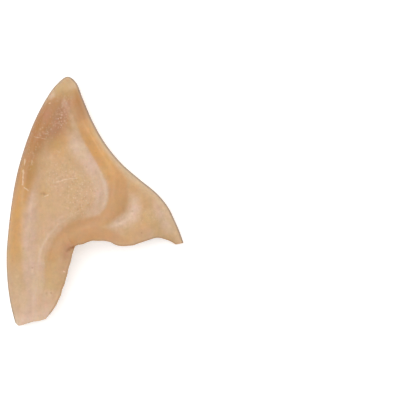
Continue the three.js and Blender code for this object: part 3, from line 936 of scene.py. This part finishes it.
# %% Hand the skin to the frame
skin_mesh = bpy.data.meshes.new("latex_ear_tip")
sheet.to_mesh(skin_mesh)
sheet.free()
latex_ear_tip = bpy.data.objects.new("latex_ear_tip", skin_mesh)
bpy.context.collection.objects.link(latex_ear_tip)
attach(latex_ear_tip, "root")
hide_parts("ear_tip_shell")
print("the skin takes the place of the plain shell")

# %% [markdown]
# ## Node helpers
#
# A material is a small machine of nodes. A few helpers keep its wiring short: one adds a node and plugs
# values or other nodes into its inputs by name, two do sums, and one lays a colour over another.

# %% Write the node helpers
def plug(tree, socket, value):
    """Sets an input, or joins it to another node's output."""
    if isinstance(value, bpy.types.NodeSocket):
        tree.links.new(value, socket)
    else:
        socket.default_value = value


def add_node(tree, kind, inputs=None, **settings):
    """A node of some kind, with its settings, and with values or other nodes in its named inputs."""
    node = tree.nodes.new("ShaderNode" + kind)
    for name, value in settings.items():
        setattr(node, name, value)
    for name, value in (inputs or {}).items():
        plug(tree, node.inputs[name], value)
    return node


print("helpers: plug and add_node")

# %% Write the helpers for sums and colours
MIX_SHARE, MIX_UNDER, MIX_OVER, MIX_RESULT = 0, 6, 7, 2  # the Mix node's sockets for colours


def sum_of(tree, operation, first, second=0.0, clamp=False):
    """One Math node: MULTIPLY, ADD, SUBTRACT and so on."""
    node = add_node(tree, "Math", operation=operation, use_clamp=clamp)
    plug(tree, node.inputs[0], first)
    plug(tree, node.inputs[1], second)
    return node.outputs[0]


def vector_sum(tree, operation, first, second):
    """One Vector Math node, which puts out a vector or, for a length or a dot product, a value."""
    node = add_node(tree, "VectorMath", operation=operation)
    plug(tree, node.inputs[0], first)
    plug(tree, node.inputs[1], second)
    return node.outputs["Value" if operation in ("LENGTH", "DOT_PRODUCT") else "Vector"]


def tinted(tree, share, under, over, blend="MIX"):
    """Lays one colour over another."""
    node = add_node(tree, "Mix", data_type="RGBA", blend_type=blend)
    plug(tree, node.inputs[MIX_SHARE], share)
    plug(tree, node.inputs[MIX_UNDER], under)
    plug(tree, node.inputs[MIX_OVER], over)
    return node.outputs[MIX_RESULT]


print("helpers: sum_of, vector_sum and tinted")

# %% [markdown]
# ## Effects that return several times
#
# Clouds make the slow change of tint in poured latex. Specks are the small bubbles and grains. A scratch is
# a short line between two places. Each is a node group, built once and placed with its own numbers.

# %% Write the helpers for effects
def new_effect(name, inputs, output):
    """An empty node group with named inputs and one named output."""
    tree = bpy.data.node_groups.new(name, "ShaderNodeTree")
    for label, kind in inputs.items():
        tree.interface.new_socket(label, in_out="INPUT", socket_type="NodeSocket" + kind)
    tree.interface.new_socket(output, in_out="OUTPUT", socket_type="NodeSocketFloat")
    inside_inputs = tree.nodes.new("NodeGroupInput").outputs
    return tree, inside_inputs, tree.nodes.new("NodeGroupOutput").inputs[output]


def place_effect(tree, effect, inputs):
    """Places an effect in a material, with its own values."""
    node = add_node(tree, "Group", node_tree=effect)
    for name, value in inputs.items():
        plug(tree, node.inputs[name], value)
    return node.outputs[0]


print("helpers: new_effect and place_effect")

# %% Build the clouds
CLOUD_DETAIL = 5.0
CLOUD_ROUGHNESS = 0.6
MIDDLE = 0.5  # noise wanders about this value
cloud_sockets = {"Place": "Vector", "Size": "Float", "Contrast": "Float"}
clouds, cloud_given, cloud_share = new_effect("clouds", cloud_sockets, "Share")
billow = add_node(clouds, "TexNoise", {
    "Vector": cloud_given["Place"],
    "Scale": sum_of(clouds, "DIVIDE", 1.0, cloud_given["Size"]),
    "Detail": CLOUD_DETAIL,
    "Roughness": CLOUD_ROUGHNESS,
})
from_middle = sum_of(clouds, "SUBTRACT", billow.outputs[0], MIDDLE)
stretched = sum_of(clouds, "MULTIPLY", from_middle, cloud_given["Contrast"])
plug(clouds, cloud_share, sum_of(clouds, "ADD", stretched, MIDDLE, clamp=True))
print("the clouds have", len(clouds.nodes), "nodes")

# %% Build the specks
LEAST_SPECK = 0.4  # the smallest speck, as a share of the size that is given
speck_sockets = {"Place": "Vector", "Spacing": "Float", "Size": "Float", "Share kept": "Float"}
specks, speck_given, speck_mask = new_effect("specks", speck_sockets, "Mask")
cells = add_node(specks, "TexVoronoi", {
    "Vector": speck_given["Place"],
    "Scale": sum_of(specks, "DIVIDE", 1.0, speck_given["Spacing"]),
})
lot = add_node(specks, "SeparateColor", {"Color": cells.outputs["Color"]})
kept = sum_of(specks, "LESS_THAN", lot.outputs[0], speck_given["Share kept"])
own_size = sum_of(specks, "MULTIPLY", speck_given["Size"], sum_of(specks, "ADD", lot.outputs[1], LEAST_SPECK))
outwards = sum_of(specks, "DIVIDE", cells.outputs["Distance"], own_size)
falling = sum_of(specks, "SUBTRACT", 1.0, outwards, clamp=True)
plug(specks, speck_mask, sum_of(specks, "MULTIPLY", falling, kept))
print("the specks have", len(specks.nodes), "nodes")

# %% Build the scratch
scratch_sockets = {"Place": "Vector", "From": "Vector", "To": "Vector", "Half width": "Float"}
scratch, scratch_given, scratch_mask = new_effect("scratch", scratch_sockets, "Mask")
reach_out = vector_sum(scratch, "SUBTRACT", scratch_given["Place"], scratch_given["From"])
run = vector_sum(scratch, "SUBTRACT", scratch_given["To"], scratch_given["From"])
passed = vector_sum(scratch, "DOT_PRODUCT", reach_out, run)
whole = vector_sum(scratch, "DOT_PRODUCT", run, run)
foot = add_node(scratch, "VectorMath", operation="SCALE")
plug(scratch, foot.inputs[0], run)
plug(scratch, foot.inputs["Scale"], sum_of(scratch, "DIVIDE", passed, whole, clamp=True))
aside = vector_sum(scratch, "SUBTRACT", reach_out, foot.outputs["Vector"])
aside_length = vector_sum(scratch, "LENGTH", aside, aside)
across = sum_of(scratch, "DIVIDE", aside_length, scratch_given["Half width"])
plug(scratch, scratch_mask, sum_of(scratch, "SUBTRACT", 1.0, across, clamp=True))
print("a scratch has", len(scratch.nodes), "nodes")

# %% [markdown]
# ## Tinted latex
#
# Latex for ears is tinted like pale skin. The base wanders between two tans. Over it go the warm rubbed
# ridges, the brown shade near the tip and the corner, the powder in the folds, the pale thin edges and the
# painted highlight along the front rim.
# A mottle of clouds at three sizes breaks up each layer, since no stain on poured latex is even. It runs
# from 0 to 1, so a layer is laid on with its strength less or more its patchy share.

# %% Start the material
latex = bpy.data.materials.new("tinted_latex")
latex.use_nodes = True
tree = latex.node_tree
shader = tree.nodes["Principled BSDF"]
skin_place = add_node(tree, "TexCoord").outputs["Object"]


def linear(red, green, blue):
    """A colour from its sRGB numbers, 0 to 255, by the standard curve."""
    shares = (((c / 255 + 0.055) / 1.055) ** 2.4 if c > 10 else c / 3295 for c in (red, green, blue))
    return (*shares, 1.0)


def attribute(name):
    """The value that a corner of the mesh keeps under a name."""
    return add_node(tree, "Attribute", attribute_name=name).outputs["Fac"]


print("the latex reads the values", ", ".join(values))

# %% Gather the clouds
STREAK_STRETCH = (1, 0.14, 1)
MOTTLE_SHARES = {"quick": 0.45, "fine": 0.3, "streaks": 0.25}
drawn_out = add_node(tree, "Mapping", {"Vector": skin_place, "Scale": STREAK_STRETCH}).outputs[0]
slow = place_effect(tree, clouds, {"Place": skin_place, "Size": 14 * MM, "Contrast": 1.8})
quick = place_effect(tree, clouds, {"Place": skin_place, "Size": 2.6 * MM, "Contrast": 3})
fine = place_effect(tree, clouds, {"Place": skin_place, "Size": 0.9 * MM, "Contrast": 2.6})
streaks = place_effect(tree, clouds, {"Place": drawn_out, "Size": 1.1 * MM, "Contrast": 2.2})
quick_share = sum_of(tree, "MULTIPLY", quick, MOTTLE_SHARES["quick"])
fine_share = sum_of(tree, "MULTIPLY", fine, MOTTLE_SHARES["fine"])
streak_share = sum_of(tree, "MULTIPLY", streaks, MOTTLE_SHARES["streaks"])
mottle = sum_of(tree, "ADD", sum_of(tree, "ADD", quick_share, fine_share), streak_share)
print("the mottle is made of", ", ".join(MOTTLE_SHARES))

# %% Lay the tints over the base
BASE_TANS = ((203, 165, 123), (208, 172, 135))
LAYERS = (
    # a tint, its strength, its colour, and how patchy the mottle makes it
    ("warm", 0.95, (209, 160, 101), 0.2),
    ("shade", 1.0, (184, 131, 82), 0.2),
    ("powder", 1.0, (215, 183, 157), 0.2),
    ("rosy", 0.7, (186, 136, 112), 0.4),
    ("rubbed", 1.0, (217, 166, 106), 0.2),
    # the brown ridges, and the painted shade along the left rim
    ("brown_and_rim_shade", 0.95, (199, 149, 100), 0.2),
    ("chalk", 0.85, (228, 200, 176), 0.3),
    # thin latex, and the painted highlight along the front rim
    ("thin", 0.9, (218, 187, 150), 0.2),
    ("bleached", 1.0, (220, 190, 163), 0.1),
    ("olive", 0.55, (192, 154, 94), 0.3),
)
colour = tinted(tree, slow, linear(*BASE_TANS[0]), linear(*BASE_TANS[1]))
for name, strength, paint, patchy in LAYERS:
    worn = sum_of(tree, "ADD", sum_of(tree, "MULTIPLY", mottle, patchy * 2), 1 - patchy)
    laid = sum_of(tree, "MULTIPLY", sum_of(tree, "MULTIPLY", attribute(name), strength), worn, clamp=True)
    colour = tinted(tree, laid, colour, linear(*paint))
print(len(LAYERS), "tints are laid over each other")

# %% [markdown]
# ## Blush, mottle and the painted shade at the edges
#
# The tint of the whole skin drifts between cooler and warmer, and the mottle darkens and lightens it a
# little. The inside was never rubbed and stays pale. The rim's outermost line and the cut of the lip are
# painted dark: painted shade, where the rolled rim and the nose of the lip turn away from the light.

# %% Blush and mottle the skin
BLUSH_SHIFT = (0.3, 0.3, 0.3)  # metres, so that the blush falls elsewhere than the mottle
BLUSH_TINTS = ((0.985, 1.0, 0.93, 1), (1.02, 1.0, 1.06, 1))
MOTTLE_DEPTH = 0.24
MOTTLE_DARKEST = 0.885
blush_place = vector_sum(tree, "ADD", skin_place, BLUSH_SHIFT)
blush = place_effect(tree, clouds, {"Place": blush_place, "Size": 5 * MM, "Contrast": 3.5})
colour = tinted(tree, 1.0, colour, tinted(tree, blush, *BLUSH_TINTS), "MULTIPLY")
shading = sum_of(tree, "ADD", sum_of(tree, "MULTIPLY", mottle, MOTTLE_DEPTH), MOTTLE_DARKEST)
colour = tinted(tree, 1.0, colour, shading, "MULTIPLY")
print("the mottle leaves at least", MOTTLE_DARKEST, "of the skin's light")

# %% Tint the inside, the painted shade along the rim and the lip, and the dark marks
EDGES = (
    # a value, its strength and its colour
    ("inside", 0.6, (214, 186, 155)),
    # painted shade along the rim's outermost line, where the roll turns away from the light
    ("edge", 0.9, (120, 86, 52)),
    # painted shade along the cut of the lip, where its nose turns away from the light
    ("lip", 0.6, (140, 104, 74)),
)
# the colour of the dark marks, and of the painted shade along the upper left rim
DARK_MARK_AND_RIM_SHADE = (148, 95, 56)
LEAST_DARKENING = 0.3
for name, strength, paint in EDGES:
    colour = tinted(tree, sum_of(tree, "MULTIPLY", attribute(name), strength), colour, linear(*paint))
spotty = sum_of(tree, "ADD", fine, LEAST_DARKENING)
darkened_marks_and_shade = sum_of(tree, "MULTIPLY", attribute("dark_marks_and_rim_shade"), spotty, clamp=True)
colour = tinted(tree, darkened_marks_and_shade, colour, linear(*DARK_MARK_AND_RIM_SHADE))
print(len(EDGES), "edges and the stains are tinted")

# %% [markdown]
# ## Scratches
#
# Handling leaves a few short pale scratches on the face. Their ends are charted on the plan. The place that
# the effect reads is flattened and shaken by a fine noise, so that no scratch is ruler straight.

# %% Chart the scratches
SCRATCHES = (
    # two ends as shares of the plan, and half the width in millimetres
    ((0.110, 0.669), (0.109, 0.645), 0.36),
    ((0.103, 0.625), (0.099, 0.570), 0.42),
    ((0.110, 0.558), (0.127, 0.546), 0.38),
    ((0.152, 0.665), (0.150, 0.649), 0.2),
    ((0.282, 0.578), (0.332, 0.588), 0.3),
    ((0.332, 0.588), (0.400, 0.594), 0.2),
    ((0.220, 0.522), (0.239, 0.528), 0.3),
    ((0.251, 0.892), (0.245, 0.890), 0.26),
    ((0.163, 0.757), (0.228, 0.749), 0.12),
    ((0.327, 0.223), (0.335, 0.221), 0.3),
)


def on_plan(share_x, share_y):
    """A place of the chart, in the frame's metres."""
    spot = (np.array([share_x, share_y]) * PLAN + TO_FRAME[:2]) * MM
    return (*spot, 0)


print(len(SCRATCHES), "scratches")

# %% Draw the scratches
SHAKE_SCALE = 700.0  # the waves of the shaking in each metre
SHAKE_REACH = (0.8 * MM, 0.8 * MM, 0)
FLAT = (1, 1, 0)
LEAST_SCRATCH = 0.45
flat_place = vector_sum(tree, "MULTIPLY", skin_place, FLAT)
billows = add_node(tree, "TexNoise", {"Vector": flat_place, "Scale": SHAKE_SCALE}).outputs["Color"]
shaking = vector_sum(tree, "SUBTRACT", billows, (MIDDLE, MIDDLE, MIDDLE))
shaken_place = vector_sum(tree, "ADD", flat_place, vector_sum(tree, "MULTIPLY", shaking, SHAKE_REACH))
scratched = 0.0
for begin, finish, half_width in SCRATCHES:
    ends_of_one = {"From": on_plan(*begin), "To": on_plan(*finish), "Half width": half_width * MM}
    one = place_effect(tree, scratch, {"Place": shaken_place, **ends_of_one})
    scratched = sum_of(tree, "MAXIMUM", one, scratched)
on_top = sum_of(tree, "SUBTRACT", 1.0, attribute("inside"), clamp=True)
broken = sum_of(tree, "ADD", fine, LEAST_SCRATCH)
scratched = sum_of(tree, "MULTIPLY", sum_of(tree, "MULTIPLY", scratched, on_top), broken)
print("the scratches are broken up by the fine clouds")

# %% [markdown]
# ## Grain, bubbles and pits
#
# Salt and pepper are pale and dark grains that show where the plaster mould was coarse. Bubbles are small
# pale rings near the tip, partly real bubbles and partly painted glints of light, and pits are the few dark
# pinholes that every casting has.

# %% Scatter the specks
def speckled(spacing, size, share_kept):
    """A mask of specks. The spacing is in millimetres, and the size is a share of it."""
    return place_effect(tree, specks, {
        "Place": skin_place, "Spacing": spacing * MM, "Size": size, "Share kept": share_kept,
    })


pale_grains = speckled(spacing=0.75, size=0.6, share_kept=0.6)
dark_grains = speckled(spacing=0.85, size=0.6, share_kept=0.5)
small_rings = speckled(spacing=0.9, size=0.5, share_kept=0.7)
salt = sum_of(tree, "MULTIPLY", pale_grains, attribute("grain"))
pepper = sum_of(tree, "MULTIPLY", dark_grains, attribute("grain"))
bubbles_and_glints = sum_of(tree, "MULTIPLY", small_rings, attribute("bubbly_and_glinting"))
pits = speckled(spacing=3.1, size=0.14, share_kept=0.3)
MARKS = (
    # a mask, its strength and its colour
    (salt, 0.65, (230, 200, 168)),
    (pepper, 0.5, (178, 136, 98)),
    # bubbles, and the painted glints of light on them
    (bubbles_and_glints, 1.0, (240, 212, 190)),
    (pits, 0.5, (160, 112, 78)),
    (scratched, 0.9, (236, 204, 172)),
)
for mask, strength, paint in MARKS:
    colour = tinted(tree, sum_of(tree, "MULTIPLY", mask, strength), colour, linear(*paint))
plug(tree, shader.inputs["Base Color"], colour)
print(len(MARKS), "kinds of mark are laid on")

# %% [markdown]
# ## Sheen and fine relief
#
# Powder is rough and the rubbed places shine a little, so the roughness follows the same values as the
# tints. The specks stand up or sink in through a Bump node. Light goes a short way into latex, which
# subsurface scattering shows.

# %% Set the sheen
SHINIEST = 0.44
SHEEN_DRIFT = 0.12
ROUGHENED = {"powder": 0.2, "inside": 0.2, "rubbed": -0.06}
rough = sum_of(tree, "ADD", sum_of(tree, "MULTIPLY", quick, SHEEN_DRIFT), SHINIEST)
for name, amount in ROUGHENED.items():
    rough = sum_of(tree, "ADD", rough, sum_of(tree, "MULTIPLY", attribute(name), amount))
plug(tree, shader.inputs["Roughness"], rough)
print("the roughness starts at", SHINIEST)

# %% Raise the fine relief
FINE_RELIEF = 0.25
GRAIN_HEIGHT = 0.12 * MM
raised = sum_of(tree, "MULTIPLY", fine, FINE_RELIEF)
for operation, mask in (("ADD", salt), ("SUBTRACT", pepper), ("ADD", bubbles_and_glints), ("SUBTRACT", pits)):
    raised = sum_of(tree, operation, raised, mask)
raised = sum_of(tree, "SUBTRACT", raised, scratched)
bump = add_node(tree, "Bump", {"Height": raised, "Strength": 0.5, "Distance": GRAIN_HEIGHT})
plug(tree, shader.inputs["Normal"], bump.outputs["Normal"])
print("a grain stands up by", GRAIN_HEIGHT / MM, "mm")

# %% Let light into the latex
LATEX_FINISH = {
    "IOR": 1.45,
    "Specular IOR Level": 0.4,
    "Subsurface Weight": 0.2,
    "Subsurface Radius": (1.0, 0.45, 0.25),
    "Subsurface Scale": 1.2 * MM,
}
set_finish(shader, LATEX_FINISH)
skin_mesh.materials.append(latex)
print("light goes", LATEX_FINISH["Subsurface Scale"] / MM, "mm into the latex")
